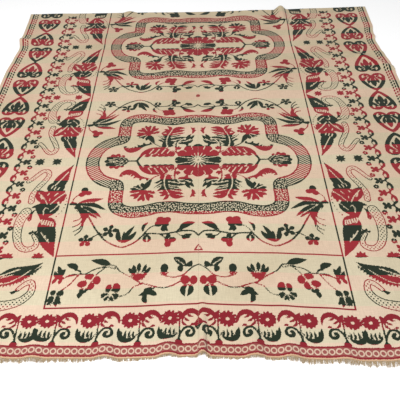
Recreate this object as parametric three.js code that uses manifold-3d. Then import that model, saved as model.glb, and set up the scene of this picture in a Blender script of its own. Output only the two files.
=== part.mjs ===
// Woven coverlet of two loom widths, laid out on a flat surface
// Millimetres, +Z up. u runs across from the centre seam, v runs from the front hem to the back hem.
import * as THREE from 'three';
import { mergeVertices } from 'three/addons/utils/BufferGeometryUtils.js';
import Module from 'manifold-3d';

const wasm = await Module();
wasm.setup();

// Cut sizes
const LOOM_WIDTH = 995;
const LENGTH = 2143;
const CLOTH = 2;
const HEM_DEPTH = 14;
const HEM_CLOTH = 3.2;
const GAP = 0.3;

// Fringe below the front hem
const STRIP_DEPTH = 4;
const STRIP_CLOTH = 1.6;
const LOCKS = 104;
const LOCK_WIDTH = 5;
const LOCK_CLOTH = 1.3;
const LOCK_BELOW = 0.2;
const LOCK_ROOT = 2;
const LOCK_LEAN = 3.2;

// How far the front hem lies towards the viewer from a straight line
const FRONT_LINE = [
  { u: -995, out: -9 },
  { u: -520, out: -3 },
  { u: -250, out: 0 },
  { u: 0, out: -6 },
  { u: 130, out: 0 },
  { u: 260, out: 3 },
  { u: 390, out: 10 },
  { u: 520, out: 17 },
  { u: 995, out: 27 },
];

// How far the back hem is drawn in from a straight line
const BACK_LINE = [
  { u: -995, out: 5 },
  { u: -400, out: 7 },
  { u: 0, out: 11 },
  { u: 400, out: 2 },
  { u: 700, out: -10 },
  { u: 995, out: -20 },
];

// How far each selvedge lies outside a straight line, by distance from the back hem
const LEFT_SIDE = [
  { back: 0, out: 9 },
  { back: 110, out: 5 },
  { back: 230, out: 2 },
  { back: 290, out: 6 },
  { back: 380, out: -10 },
  { back: 480, out: -2 },
  { back: 600, out: 8 },
  { back: 2143, out: 13 },
];
const RIGHT_SIDE = [
  { back: 0, out: 13 },
  { back: 200, out: 8 },
  { back: 290, out: -6 },
  { back: 370, out: -14 },
  { back: 440, out: -8 },
  { back: 500, out: 3 },
  { back: 580, out: 14 },
  { back: 700, out: 16 },
  { back: 2143, out: 18 },
];

// Folds that stand up from the surface: a crest line, its spread to either side and its height
const FOLDS = [
  { u0: 490, v0: 2150, u1: 502, v1: 1900, left: 38, right: 42, start: 26, end: 2 },
  { u0: -405, v0: 2150, u1: -412, v1: 1930, left: 52, right: 50, start: 10, end: 1 },
  { u0: 1000, v0: 1508, u1: 868, v1: 1636, left: 44, right: 30, start: 9, end: 13 },
  { u0: 1000, v0: 1812, u1: 905, v1: 1838, left: 26, right: 30, start: 8, end: 2 },
  { u0: -1000, v0: 1853, u1: -850, v1: 1846, left: 26, right: 30, start: 10, end: 3 },
  { u0: 12, v0: -6, u1: 12, v1: 190, left: 21, right: 23, start: 21, end: 4 },
  { u0: -640, v0: -10, u1: -632, v1: 90, left: 60, right: 60, start: 7, end: 1 },
  { u0: -520, v0: -10, u1: -516, v1: 110, left: 46, right: 46, start: 8, end: 1 },
  { u0: -293, v0: -10, u1: -290, v1: 130, left: 48, right: 44, start: 12, end: 1 },
  { u0: -98, v0: -10, u1: -98, v1: 140, left: 46, right: 46, start: 14, end: 1 },
  { u0: 177, v0: -10, u1: 178, v1: 140, left: 44, right: 46, start: 13, end: 1 },
  { u0: 286, v0: -10, u1: 288, v1: 120, left: 42, right: 46, start: 10, end: 1 },
  { u0: 453, v0: -10, u1: 452, v1: 100, left: 46, right: 50, start: 7, end: 1 },
  { u0: 640, v0: -10, u1: 640, v1: 110, left: 60, right: 60, start: 9, end: 1 },
  { u0: 835, v0: -10, u1: 835, v1: 100, left: 60, right: 60, start: 7, end: 1 },
  { u0: -830, v0: -10, u1: -830, v1: 100, left: 60, right: 60, start: 8, end: 1 },
];
const DRAW_IN = 0.35;

// Reach of the fringe past the edge of the woven border, worn shorter in the middle
const FRINGE_REACH = [
  { u: -995, reach: 24 },
  { u: -520, reach: 24 },
  { u: -400, reach: 20 },
  { u: -290, reach: 15 },
  { u: -235, reach: 18 },
  { u: -98, reach: 13 },
  { u: -40, reach: 12 },
  { u: 35, reach: 16 },
  { u: 155, reach: 13 },
  { u: 250, reach: 17 },
  { u: 300, reach: 24 },
  { u: 380, reach: 27 },
  { u: 415, reach: 20 },
  { u: 480, reach: 27 },
  { u: 995, reach: 25 },
];
const BORDER_TO_EDGE = 5;

// Where the cloth's mesh is finer than its plain step
const PLAIN_STEP_U = 38;
const PLAIN_STEP_V = 104;
const FINE_LEFT = [
  { at: 0, within: 20, step: 9 },
  { at: 405, within: 60, step: 24 },
  { at: 965, within: 60, step: 30 },
];
const FINE_RIGHT = [
  { at: 0, within: 40, step: 7.5 },
  { at: 492, within: 44, step: 12 },
  { at: 940, within: 90, step: 30 },
];
const FINE_ALONG = [
  { at: 0, within: 90, step: 34 },
  { at: 150, within: 70, step: 50 },
  { at: 1580, within: 105, step: 30 },
  { at: 1840, within: 60, step: 26 },
  { at: 2143, within: 15, step: 7 },
  { at: 2040, within: 110, step: 48 },
];

// Smooth step from 0 to 1
function ease(t) {
  const c = Math.min(1, Math.max(0, t));
  return c * c * (3 - 2 * c);
}

// Value of a column of a table at a place along another column
function along(table, key, column, at) {
  if (at <= table[0][key]) {
    return table[0][column];
  }
  for (let i = 1; i < table.length; i += 1) {
    const a = table[i - 1];
    const b = table[i];
    if (at <= b[key]) {
      return a[column] + (b[column] - a[column]) * ease((at - a[key]) / (b[key] - a[key]));
    }
  }
  return table[table.length - 1][column];
}

// Height of one fold at a point of the cloth
function foldHeight(fold, u, v) {
  const du = fold.u1 - fold.u0;
  const dv = fold.v1 - fold.v0;
  const span = Math.hypot(du, dv);
  const t = ((u - fold.u0) * du + (v - fold.v0) * dv) / (span * span);
  const across = ((v - fold.v0) * du - (u - fold.u0) * dv) / span;
  const leftwards = fold.v1 > fold.v0 ? across < 0 : across > 0;
  const spread = leftwards ? fold.right : fold.left;
  const side = Math.abs(across) / spread;
  if (side >= 1) {
    return 0;
  }
  const past = Math.max(0, t - 1) * span / spread;
  if (past >= 1) {
    return 0;
  }
  const crest = fold.start + (fold.end - fold.start) * ease(t);
  const endFall = (1 + Math.cos(Math.PI * past)) / 2;
  return crest * endFall * (1 + Math.cos(Math.PI * side)) / 2;
}

// Soft swells where the cloth has not settled, never below the surface it lies on
function swell(u, v) {
  const slow = Math.sin(u / 96 + 1.1) * Math.sin(v / 131 + 0.4);
  const cross = Math.sin(u / 61 - v / 173 + 2.0);
  return 2.4 * Math.max(0, slow + 0.35 * cross - 0.45);
}

// Height of the cloth's underside
function height(u, v) {
  let z = 0;
  for (const fold of FOLDS) {
    z = Math.hypot(z, foldHeight(fold, u, v));
  }
  return Math.hypot(z, swell(u, v));
}

// Where a point of the flat cloth lies, on its underside
function lay(u, v) {
  const side = u < 0 ? LEFT_SIDE : RIGHT_SIDE;
  const part = Math.abs(u) / LOOM_WIDTH;
  const out = along(side, 'back', 'out', LENGTH - v);
  const spread = 0.35 * part + 0.65 * part ** 4;
  const t = Math.min(1, Math.max(0, v / LENGTH));
  const front = along(FRONT_LINE, 'u', 'out', u) * (1 - t) ** 2;
  const back = along(BACK_LINE, 'u', 'out', u) * t ** 2;
  const hemLift = height(u, 0) * (1 - ease(v / 260)) * DRAW_IN;
  return new THREE.Vector3(u + Math.sign(u) * out * spread, v - front - back + hemLift, height(u, v));
}

// The same point raised square to the cloth
function place(u, v, lift) {
  const step = 1.5;
  const point = lay(u, v);
  const acrossCloth = lay(u + step, v).sub(lay(u - step, v));
  const alongCloth = lay(u, v + step).sub(lay(u, v - step));
  const normal = acrossCloth.cross(alongCloth).normalize();
  return point.addScaledVector(normal, lift);
}

// Stations from one end to the other, closer together in the fine zones
function stations(from, to, plain, zones) {
  const marks = [from];
  while (marks[marks.length - 1] < to) {
    const last = marks[marks.length - 1];
    let step = plain;
    for (const zone of zones) {
      const near = Math.abs(last - zone.at) < zone.within;
      const reaches = last < zone.at && last + step > zone.at - zone.within;
      if (near) {
        step = Math.min(step, zone.step);
      } else if (reaches) {
        step = Math.max(zone.step, Math.min(step, zone.at - zone.within - last));
      }
    }
    marks.push(last + step);
  }
  const stretch = (to - from) / (marks[marks.length - 1] - from);
  return marks.map((m) => from + (m - from) * stretch);
}

// Thickness of the cloth, doubled over at the back hem
function clothAt(v) {
  return CLOTH + (HEM_CLOTH - CLOTH) * ease((v - (LENGTH - HEM_DEPTH)) / 4);
}

// A loom width as a thin block whose points are laid on the folds
function loomWidth(us, vs) {
  const nu = us.length - 1;
  const nv = vs.length - 1;
  const geometry = new THREE.BoxGeometry(nu, nv, 1, nu, nv, 1);
  const points = geometry.attributes.position;
  for (let i = 0; i < points.count; i += 1) {
    const u = us[Math.round(points.getX(i) + nu / 2)];
    const v = vs[Math.round(points.getY(i) + nv / 2)];
    const lift = points.getZ(i) > 0 ? clothAt(v) : 0;
    const p = place(u, v, lift);
    points.setXYZ(i, p.x, p.y, p.z);
  }
  geometry.computeVertexNormals();
  return geometry;
}

// Even scatter between -1 and 1 for the n-th lock
function scatter(n, salt) {
  const wave = Math.sin(n * 12.9898 + salt * 78.233) * 43758.5453;
  return 2 * (wave - Math.floor(wave)) - 1;
}

// Turn a three.js geometry into a solid of the joining library
function solidFrom(geometry) {
  const bare = geometry.clone();
  bare.deleteAttribute('normal');
  bare.deleteAttribute('uv');
  const welded = mergeVertices(bare, 1e-4);
  const vertProperties = Float32Array.from(welded.attributes.position.array);
  const triVerts = Uint32Array.from(welded.index.array);
  return new wasm.Manifold(new wasm.Mesh({ numProp: 3, vertProperties, triVerts }));
}

// Turn a joined solid back into a three.js geometry
function geometryFrom(solid) {
  const mesh = solid.getMesh();
  const geometry = new THREE.BufferGeometry();
  const points = Float32Array.from(mesh.vertProperties);
  geometry.setAttribute('position', new THREE.BufferAttribute(points, 3));
  geometry.setIndex(new THREE.BufferAttribute(Uint32Array.from(mesh.triVerts), 1));
  geometry.computeVertexNormals();
  return geometry;
}

// A place beside the hem, on the straight lines between the stations of the hem
function besideHem(us, u, v, lift) {
  let i = 1;
  while (i < us.length - 1 && us[i] < u) {
    i += 1;
  }
  const part = (u - us[i - 1]) / (us[i] - us[i - 1]);
  return place(us[i - 1], v, lift).lerp(place(us[i], v, lift), part);
}

// The narrow strip that holds the locks
function fringeStrip(us) {
  const nu = us.length - 1;
  const geometry = new THREE.BoxGeometry(nu, 1, 1, nu, 1, 1);
  const points = geometry.attributes.position;
  for (let i = 0; i < points.count; i += 1) {
    const u = us[Math.round(points.getX(i) + nu / 2)];
    const v = points.getY(i) > 0 ? -GAP : -GAP - STRIP_DEPTH;
    const lift = points.getZ(i) > 0 ? STRIP_CLOTH : 0;
    const p = place(u, v, lift);
    points.setXYZ(i, p.x, p.y, p.z);
  }
  return geometry;
}

// The n-th lock of yarn: four sides, rooted in the strip, its tip fallen to the surface
function fringeLock(us, n) {
  const pitch = (us[us.length - 1] - us[0]) / LOCKS;
  const middle = us[0] + (n + 0.5) * pitch;
  const width = LOCK_WIDTH * (1 + 0.15 * scatter(n, 1));
  const reach = along(FRINGE_REACH, 'u', 'reach', middle) - BORDER_TO_EDGE;
  const root = -GAP - STRIP_DEPTH + LOCK_ROOT;
  const tip = Math.min(root - LOCK_ROOT - 3, -reach + 2.6 * scatter(n, 2));
  const lean = LOCK_LEAN * scatter(n, 3);
  const geometry = new THREE.ConeGeometry(Math.SQRT1_2, 1, 4, 1).rotateY(Math.PI / 4);
  const points = geometry.attributes.position;
  for (let i = 0; i < points.count; i += 1) {
    const t = points.getY(i) + 0.5;
    const u = middle - points.getX(i) * width + lean * t;
    const v = root + (tip - root) * t;
    const cloth = LOCK_BELOW + (points.getZ(i) + 0.5) * (LOCK_CLOTH - LOCK_BELOW);
    const p = besideHem(us, u, v, t > 0.5 ? 0 : cloth);
    const free = t > 0.5 ? tip - root : 0;
    p.z = Math.max(Math.min(p.z, 0.01), p.z - free * free * 0.05);
    points.setXYZ(i, p.x, p.y, p.z);
  }
  return geometry;
}

// A fringe laid along the front hem: the strip with every lock joined into it
function fringe(us) {
  let joined = solidFrom(fringeStrip(us));
  for (let n = 0; n < LOCKS; n += 1) {
    joined = joined.add(solidFrom(fringeLock(us, n)));
  }
  return geometryFrom(joined);
}

// Mirror a list of stations to the left of the seam
function leftOfSeam(marks) {
  return marks.map((m) => -m).reverse();
}

const rightStations = stations(GAP / 2, LOOM_WIDTH, PLAIN_STEP_U, FINE_RIGHT);
const leftStations = leftOfSeam(stations(GAP / 2, LOOM_WIDTH, PLAIN_STEP_U, FINE_LEFT));
const rows = stations(0, LENGTH, PLAIN_STEP_V, FINE_ALONG);

const wovenCloth = new THREE.MeshStandardMaterial({ color: 0xcdb996, roughness: 0.95, metalness: 0 });
const wovenClothRight = wovenCloth.clone();
const looseYarn = new THREE.MeshStandardMaterial({ color: 0xb9a88a, roughness: 0.97, metalness: 0 });
const looseYarnRight = looseYarn.clone();

const pieces = [
  { name: 'panel_left', geometry: loomWidth(leftStations, rows), material: wovenCloth },
  { name: 'panel_right', geometry: loomWidth(rightStations, rows), material: wovenClothRight },
  { name: 'fringe_left', geometry: fringe(leftStations), material: looseYarn },
  { name: 'fringe_right', geometry: fringe(rightStations), material: looseYarnRight },
];

const coverlet = new THREE.Group();
for (const piece of pieces) {
  const mesh = new THREE.Mesh(piece.geometry, piece.material);
  mesh.name = piece.name;
  coverlet.add(mesh);
}

// Origin at the middle of the footprint, on the surface
const box = new THREE.Box3().setFromObject(coverlet);
const middle = box.getCenter(new THREE.Vector3());
coverlet.position.set(-middle.x, -middle.y, -box.min.z);
coverlet.updateMatrixWorld(true);

export default coverlet;
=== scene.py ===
"""Looks of a woven coverlet of two loom widths, laid out flat.

Metres in the scene, millimetres in the woven chart.
"""

import math

import bmesh
import bpy
import numpy as np
from mathutils import Matrix, Vector


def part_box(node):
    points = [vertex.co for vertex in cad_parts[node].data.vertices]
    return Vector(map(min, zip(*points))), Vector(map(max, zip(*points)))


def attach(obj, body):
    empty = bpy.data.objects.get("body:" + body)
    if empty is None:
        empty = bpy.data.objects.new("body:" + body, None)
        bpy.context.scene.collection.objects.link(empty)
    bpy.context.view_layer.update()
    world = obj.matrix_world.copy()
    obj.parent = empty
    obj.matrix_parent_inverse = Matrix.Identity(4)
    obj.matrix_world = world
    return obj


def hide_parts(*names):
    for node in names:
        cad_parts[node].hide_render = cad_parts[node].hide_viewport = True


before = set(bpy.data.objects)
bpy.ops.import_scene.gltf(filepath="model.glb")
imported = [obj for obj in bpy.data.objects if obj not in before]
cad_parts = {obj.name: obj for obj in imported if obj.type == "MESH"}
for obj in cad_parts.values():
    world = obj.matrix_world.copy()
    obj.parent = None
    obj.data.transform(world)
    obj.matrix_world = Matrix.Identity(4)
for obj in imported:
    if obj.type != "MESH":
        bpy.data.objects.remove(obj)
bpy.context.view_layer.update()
scene = bpy.context.scene

# Cut sizes of the cloth, in millimetres
LOOM_WIDTH = 995.0
LENGTH = 2143.0
CLOTH = 2.0
HEM_DEPTH = 14.0
HEM_CLOTH = 3.2
GAP = 0.3
BORDER_TO_EDGE = 5.0

# One pair of yarns of the weave, in metres
WEAVE_PITCH = 0.0034

# Cells of the sheet's face and of its underside
ACROSS = 208
ALONG = 448
UNDER_RATIO = 4

# How far the front hem lies towards the viewer, across from the seam
FRONT_LINE = [
    (-995, -9), (-520, -3), (-250, 0), (0, -6), (130, 0), (260, 3), (390, 10), (520, 17), (995, 27),
]
# How far the back hem is drawn in
BACK_LINE = [(-995, 5), (-400, 7), (0, 11), (400, 2), (700, -10), (995, -20)]
# How far each selvedge lies outside a straight line, by distance from the back hem
LEFT_SIDE = [(0, 9), (110, 5), (230, 2), (290, 6), (380, -10), (480, -2), (600, 8), (2143, 13)]
RIGHT_SIDE = [
    (0, 13), (200, 8), (290, -6), (370, -14), (440, -8), (500, 3), (580, 14), (700, 16), (2143, 18),
]
# Folds that stand up: start and end of the crest, spread to the left and right, height at both ends
FOLDS = [
    ((490, 2150), (502, 1900), 38, 42, 26, 2),
    ((-405, 2150), (-412, 1930), 52, 50, 10, 1),
    ((1000, 1508), (868, 1636), 44, 30, 9, 13),
    ((1000, 1812), (905, 1838), 26, 30, 8, 2),
    ((-1000, 1853), (-850, 1846), 26, 30, 10, 3),
    ((12, -6), (12, 190), 21, 23, 21, 4),
    ((-640, -10), (-632, 90), 60, 60, 7, 1),
    ((-520, -10), (-516, 110), 46, 46, 8, 1),
    ((-293, -10), (-290, 130), 48, 44, 12, 1),
    ((-98, -10), (-98, 140), 46, 46, 14, 1),
    ((177, -10), (178, 140), 44, 46, 13, 1),
    ((286, -10), (288, 120), 42, 46, 10, 1),
    ((453, -10), (452, 100), 46, 50, 7, 1),
    ((640, -10), (640, 110), 60, 60, 9, 1),
    ((835, -10), (835, 100), 60, 60, 7, 1),
    ((-830, -10), (-830, 100), 60, 60, 8, 1),
]
DRAW_IN = 0.35

# Loose ends of the fringe and stitches of the centre seam
YARN_PITCH = 0.62
YARN_RADIUS = 0.5
STITCH_PITCH = 7.5
STITCH_REACH = 2.6
STITCH_RADIUS = 0.32
# Reach of the fringe past the woven border
FRINGE_REACH = [
    (-995, 24), (-520, 24), (-400, 20), (-290, 15), (-235, 18), (-98, 13), (-40, 12), (35, 16),
    (155, 13), (250, 17), (300, 24), (380, 27), (415, 20), (480, 27), (995, 25),
]


# How the cloth lies


def ease(t):
    """Smooth step from 0 to 1."""
    c = np.clip(t, 0.0, 1.0)
    return c * c * (3 - 2 * c)


def along(table, at):
    """Second column of a table at a place along its first."""
    marks, values = np.array(table, float).T
    i = np.clip(np.searchsorted(marks, at), 1, len(marks) - 1)
    part = ease((at - marks[i - 1]) / (marks[i] - marks[i - 1]))
    return values[i - 1] + (values[i] - values[i - 1]) * part


def fold_height(fold, u, v):
    (u0, v0), (u1, v1), left, right, start, end = fold
    du, dv = u1 - u0, v1 - v0
    span = math.hypot(du, dv)
    t = ((u - u0) * du + (v - v0) * dv) / span**2
    across = ((v - v0) * du - (u - u0) * dv) / span
    leftwards = across < 0 if v1 > v0 else across > 0
    spread = np.where(leftwards, right, left)
    side = np.minimum(np.abs(across) / spread, 1.0)
    past = np.minimum(np.maximum(0.0, t - 1) * span / spread, 1.0)
    crest = start + (end - start) * ease(t)
    return crest * (1 + np.cos(np.pi * past)) / 2 * (1 + np.cos(np.pi * side)) / 2


def swell(u, v):
    """Soft swells where the cloth has not settled."""
    slow = np.sin(u / 96 + 1.1) * np.sin(v / 131 + 0.4)
    cross = np.sin(u / 61 - v / 173 + 2.0)
    return 2.4 * np.maximum(0.0, slow + 0.35 * cross - 0.45)


def height(u, v):
    z = swell(u, v)
    for fold in FOLDS:
        z = np.hypot(z, fold_height(fold, u, v))
    return z


def lay(u, v):
    """Where points of the flat cloth lie, on its underside."""
    back = LENGTH - v
    out = np.where(u < 0, along(LEFT_SIDE, back), along(RIGHT_SIDE, back))
    part = np.abs(u) / LOOM_WIDTH
    spread = 0.35 * part + 0.65 * part**4
    t = np.clip(v / LENGTH, 0.0, 1.0)
    front = along(FRONT_LINE, u) * (1 - t) ** 2
    drawn = along(BACK_LINE, u) * t**2
    hem_lift = height(u, np.zeros_like(u)) * (1 - ease(v / 260)) * DRAW_IN
    return np.stack([u + np.sign(u) * out * spread, v - front - drawn + hem_lift, height(u, v)], -1)


def place(u, v, lift):
    """The same points raised square to the cloth."""
    step = 1.5
    across = lay(u + step, v) - lay(u - step, v)
    lengthwise = lay(u, v + step) - lay(u, v - step)
    square = np.cross(across, lengthwise)
    square /= np.linalg.norm(square, axis=-1, keepdims=True)
    return lay(u, v) + square * np.reshape(lift, (-1, 1))


def cloth_at(v):
    """Thickness of the cloth, doubled over at the back hem."""
    return CLOTH + (HEM_CLOTH - CLOTH) * ease((v - (LENGTH - HEM_DEPTH)) / 4)


def creases(u, v):
    """Small ripples on the face that are too fine for the solid."""
    ripple = np.sin(u / 17 + 2.2 * np.sin(v / 83)) * np.sin(v / 29 + 1.7 * np.sin(u / 71))
    stored = np.exp(-(((v - 1119 - 5 * np.sin(u / 140)) / 5.5) ** 2))
    pulled = np.exp(-np.abs(u) / 16) * np.sin(v / 9.5) * 0.5
    fade = ease(v / 12) * ease((LENGTH - v) / 12)
    return (0.28 * (1 + ripple) + 0.9 * stored + 0.35 * (0.5 + pulled)) * fade


# The woven chart

# Lengthwise places where the coloured weft changes, from the back hem, green first
WEFT_CHANGES = [
    58, 115, 172, 232, 288, 348, 402, 465, 522, 598, 650, 728, 790, 855, 927, 988, 1046, 1110, 1187, 1246,
    1301, 1382, 1441, 1505, 1557, 1618, 1688, 1757, 1833, 1893, 1950, 2043, 2091,
]
# How far the weft lines bow before the border, and the half width of the framed field
BOW = 9.0
FIELD = 512.0

# Columns of the pattern from the seam, rows from the back hem, and half widths of the lines
FRAME_COLUMN = 516.0
FRAME_END = 1973.0
FRAME_LINE = 3.0
CROSS_ROWS = (1751.0, 1963.0)
CROSS_LINE = 2.9
CROSS_END = 519.0
DASH_COLUMNS = (950.0, 962.5)
DASH_LINE = 4.2
DASH_PITCH = 21.0
SELVEDGE_COLUMN = 975.0
SELVEDGE_LINE = 4.4
SELVEDGE_END = 2100.0
HEART_COLUMN = 868.0
HEART_PITCH = 300.0
EYE_COLUMN = 768.0
PETAL_COLUMN = 731.0
ROSETTE_COLUMN = 714.0
FLOWER_ROW = 2014.0
RING_ROW = 2120.5
RING_PITCH = 22.3
RING_RADIUS = 8.8
# Width of the half-tone ribbon, and where its net gives way to stripes
RIBBON = 58.0
STRIPES_FROM = 361.0
STRIPE_PITCH = 10.6
NET_SCALE = 0.122
# Solid rims of the ribbon and of the dotted outlines
RIM = 6.0
SKIN = 3.8
# Where the plain heading of the fringe starts, in metres from the back hem
HEADING = 2.1387
# Distance beyond which a layer of the chart is not worked out
FAR = 24.0


class Chart:
    """Half of the cloth laid flat: x from the seam, y from the back hem.

    fill, half and tube hold distances to the edge of solid figures, of half-tone ribbons and of dotted
    outlines, less than zero inside.
    """

    def __init__(self):
        self.x = np.linspace(GAP / 2, LOOM_WIDTH, ACROSS + 1)
        self.y = np.linspace(0.0, LENGTH, ALONG + 1)
        shape = (ALONG + 1, ACROSS + 1)
        self.layers = {name: np.full(shape, FAR) for name in ("fill", "half", "tube")}

    def draw(self, marks, places=((0.0, 1.0),), into="fill", out=False):
        """Joins marks to a layer, or cuts them out of it, at each place.

        A place is its row, its direction and, where it differs, how tight it is woven.
        """
        layer = self.layers[into]
        for mark in marks:
            x0, x1, y0, y1 = mark.box
            for row, way, *tight in places:
                low, high = sorted((row + way * y0, row + way * y1))
                rows = slice(*np.searchsorted(self.y, (low - FAR, high + FAR)))
                cols = slice(*np.searchsorted(self.x, (x0 - FAR, x1 + FAR)))
                if rows.stop <= rows.start or cols.stop <= cols.start:
                    continue
                y = (self.y[rows] - row) * way
                for share in tight:
                    y = np.where(y > 250, 250 + (y - 250) / share, y)
                x, y = np.meshgrid(self.x[cols], y)
                edge = mark.edge(x, y)
                if out:
                    layer[rows, cols] = np.maximum(layer[rows, cols], -edge)
                else:
                    layer[rows, cols] = np.minimum(layer[rows, cols], edge)

    def at(self, x, y):
        """The layers and the weft's colour at points of the cloth, with the bow of the weft lines."""
        y = y - BOW * np.minimum(x / FIELD, 1.0) ** 2 * ease((y - 1400) / 350) * (1 - ease((y - 1985) / 70))
        i = np.clip((x - self.x[0]) / (self.x[1] - self.x[0]), 0, ACROSS - 1e-6)
        j = np.clip(y / (self.y[1] - self.y[0]), 0, ALONG - 1e-6)
        a, b = i.astype(int), j.astype(int)
        p, q = i - a, j - b
        values = []
        for name in ("fill", "half", "tube"):
            layer = self.layers[name]
            top = layer[b, a] * (1 - p) + layer[b, a + 1] * p
            low = layer[b + 1, a] * (1 - p) + layer[b + 1, a + 1] * p
            values.append(top * (1 - q) + low * q)
        changes = np.array(WEFT_CHANGES)
        nearest = np.abs(y[:, None] - changes[None, :]).min(1)
        red = np.searchsorted(changes, y) % 2 == 1
        return np.stack(values, -1), np.where(red, nearest, -nearest)


def curved(points, per=6):
    """A smooth run through the given points."""
    p = np.array(points, float)
    if len(p) < 3:
        return p
    q = np.vstack([2 * p[0] - p[1], p, 2 * p[-1] - p[-2]])
    t = (np.arange(per) / per)[:, None]
    runs = [
        0.5 * (2 * b + (c - a) * t + (2 * a - 5 * b + 4 * c - d) * t**2 + (3 * b - a - 3 * c + d) * t**3)
        for a, b, c, d in zip(q, q[1:], q[2:], q[3:])
    ]
    return np.vstack([*runs, p[-1:]])


class Blob:
    """A round or oval mark."""

    def __init__(self, x, y, rx, ry=None, turn=0.0):
        ry = rx if ry is None else ry
        self.shape = (x, y, rx, ry, math.radians(turn))
        r = max(rx, ry)
        self.box = (x - r, x + r, y - r, y + r)

    def edge(self, x, y):
        cx, cy, rx, ry, turn = self.shape
        p = (x - cx) * math.cos(turn) + (y - cy) * math.sin(turn)
        q = (y - cy) * math.cos(turn) - (x - cx) * math.sin(turn)
        return (np.hypot(p / rx, q / ry) - 1) * min(rx, ry)


class Bloom:
    """A round flower with notches between its petals."""

    def __init__(self, x, y, r, petals, notch=0.25, turn=0.0, tall=1.0):
        self.shape = (x, y, r, petals, notch, math.radians(turn), tall)
        self.box = (x - r, x + r, y - r * tall, y + r * tall)

    def edge(self, x, y):
        cx, cy, r, petals, notch, turn, tall = self.shape
        dx, dy = x - cx, (y - cy) / tall
        wave = np.abs(np.cos(petals * (np.arctan2(dy, dx) - turn) / 2))
        return np.hypot(dx, dy) - r * (1 - notch * (1 - wave**0.7))


class Strip:
    """A strip along a curve, of even or tapering width."""

    def __init__(self, points, wide, end=None, per=6):
        self.points = curved(points, per)
        self.shape = (wide / 2, (wide if end is None else end) / 2)
        low, high = self.points.min(0) - wide, self.points.max(0) + wide
        self.box = (low[0], high[0], low[1], high[1])

    def nearest(self, x, y):
        """Distance from the curve, and how far along it the nearest point lies."""
        p = self.points
        run = np.concatenate([[0.0], np.cumsum(np.hypot(*np.diff(p, axis=0).T))])
        best, share = np.full(x.shape, 1e9), np.zeros(x.shape)
        for i, d in enumerate(np.diff(p, axis=0)):
            t = np.clip(((x - p[i, 0]) * d[0] + (y - p[i, 1]) * d[1]) / (d @ d), 0, 1)
            away = np.hypot(x - p[i, 0] - t * d[0], y - p[i, 1] - t * d[1])
            closer = away < best - 1e-9
            best = np.where(closer, away, best)
            share = np.where(closer, (run[i] + t * (run[i + 1] - run[i])) / run[-1], share)
        return best, share

    def edge(self, x, y):
        away, share = self.nearest(x, y)
        start, end = self.shape
        return away - (start + (end - start) * share)


class Leaf(Strip):
    """A leaf or petal along a spine, widest at fat, with teeth cut into its sides."""

    def __init__(self, points, wide, fat=0.5, teeth=0, bite=0.0):
        super().__init__(points, wide)
        self.shape = (wide / 2, math.log(0.5) / math.log(fat), teeth, bite)

    def edge(self, x, y):
        half, bulge, teeth, bite = self.shape
        away, share = self.nearest(x, y)
        body = np.sin(math.pi * share**bulge)
        if teeth:
            body = body * (1 - bite * (1 - np.abs(np.sin(math.pi * teeth * share)) ** 0.8))
        return away - half * body


class Heart:
    """A heart with its tip at y and its lobes 146 away."""

    def __init__(self, x, y, way, shrink=0.0):
        self.shape = (x, y, way, shrink)
        low, high = sorted((y, y + way * 150))
        self.box = (x - 70, x + 70, low, high)

    def edge(self, x, y):
        cx, cy, way, shrink = self.shape
        p, q = np.abs(x - cx), (y - cy) * way
        half = 63 * np.sin(math.pi / 2 * np.clip(q / 108, 0, 1)) ** 0.74
        body = np.maximum(np.maximum((p - half) * 0.86, q - 108), -q)
        lobes = np.hypot(p - 31, q - 110) - 33
        return np.minimum(body, lobes) + shrink


MIDDLES = (371.0, 1271.0)
QUARTERS = [(row, way) for row in MIDDLES for way in (1.0, -1.0)]
ROWS = QUARTERS[::2]
OUTER = [(MIDDLES[0], 1.0, 0.85), (MIDDLES[0], -1.0), (MIDDLES[1], 1.0), (MIDDLES[1], -1.0, 0.85)]


def toothed(points, wide, count, long, tooth, side=1.0):
    """A leaf with long pointed teeth that lean along one side."""
    spine = Leaf(points, wide)
    p = spine.points
    steps = np.linspace(0.06, 0.94, count) * (len(p) - 1)
    marks = [spine]
    for at in steps:
        i = min(int(at), len(p) - 2)
        root = p[i] + (p[i + 1] - p[i]) * (at - i)
        ahead = (p[i + 1] - p[i]) / np.hypot(*(p[i + 1] - p[i]))
        away = np.array([-ahead[1], ahead[0]]) * side
        share = math.sin(math.pi * (0.15 + 0.7 * at / (len(p) - 1)))
        tip = root + (away + ahead * 0.1) * long * share
        marks.append(Leaf([root - away * 2, (root + tip) / 2 + away * 1.5, tip], tooth, fat=0.42))
    return marks


def from_point(x, y, bearing, reach):
    """The place at a bearing in degrees and a distance from a point."""
    return x + reach * math.cos(math.radians(bearing)), y + reach * math.sin(math.radians(bearing))


def fan(x, y, low, high, count, long, wide, fat=0.62):
    """Petals that spread from one point, between two bearings in degrees."""
    return [
        Leaf([from_point(x, y, a, 3), from_point(x, y, a, long)], wide, fat=fat)
        for a in np.linspace(low, high, count)
    ]


def lines(*runs, wide=4.9):
    return [Strip(run, wide, per=3) for run in runs]


def star(x, y, r):
    """Eight points."""
    return [
        Leaf([from_point(x, y, a, -k), from_point(x, y, a, k)], 4 + r * 0.42)
        for a, k in ((0, r), (90, r), (45, r * 1.15), (135, r * 1.15))
    ]


def ribbon(chart):
    """The lobed half-tone ribbon round the medallion."""
    middle = [
        (-50, 272), (0, 274), (50, 271), (105, 261), (160, 265), (212, 280), (262, 285), (300, 275),
        (324, 253), (331, 220), (331, 165), (336, 139), (358, 128), (392, 114), (422, 87), (444, 46),
        (451, 0), (444, -46),
    ]
    chart.draw([Strip(middle, RIBBON)], QUARTERS, into="half")


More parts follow.
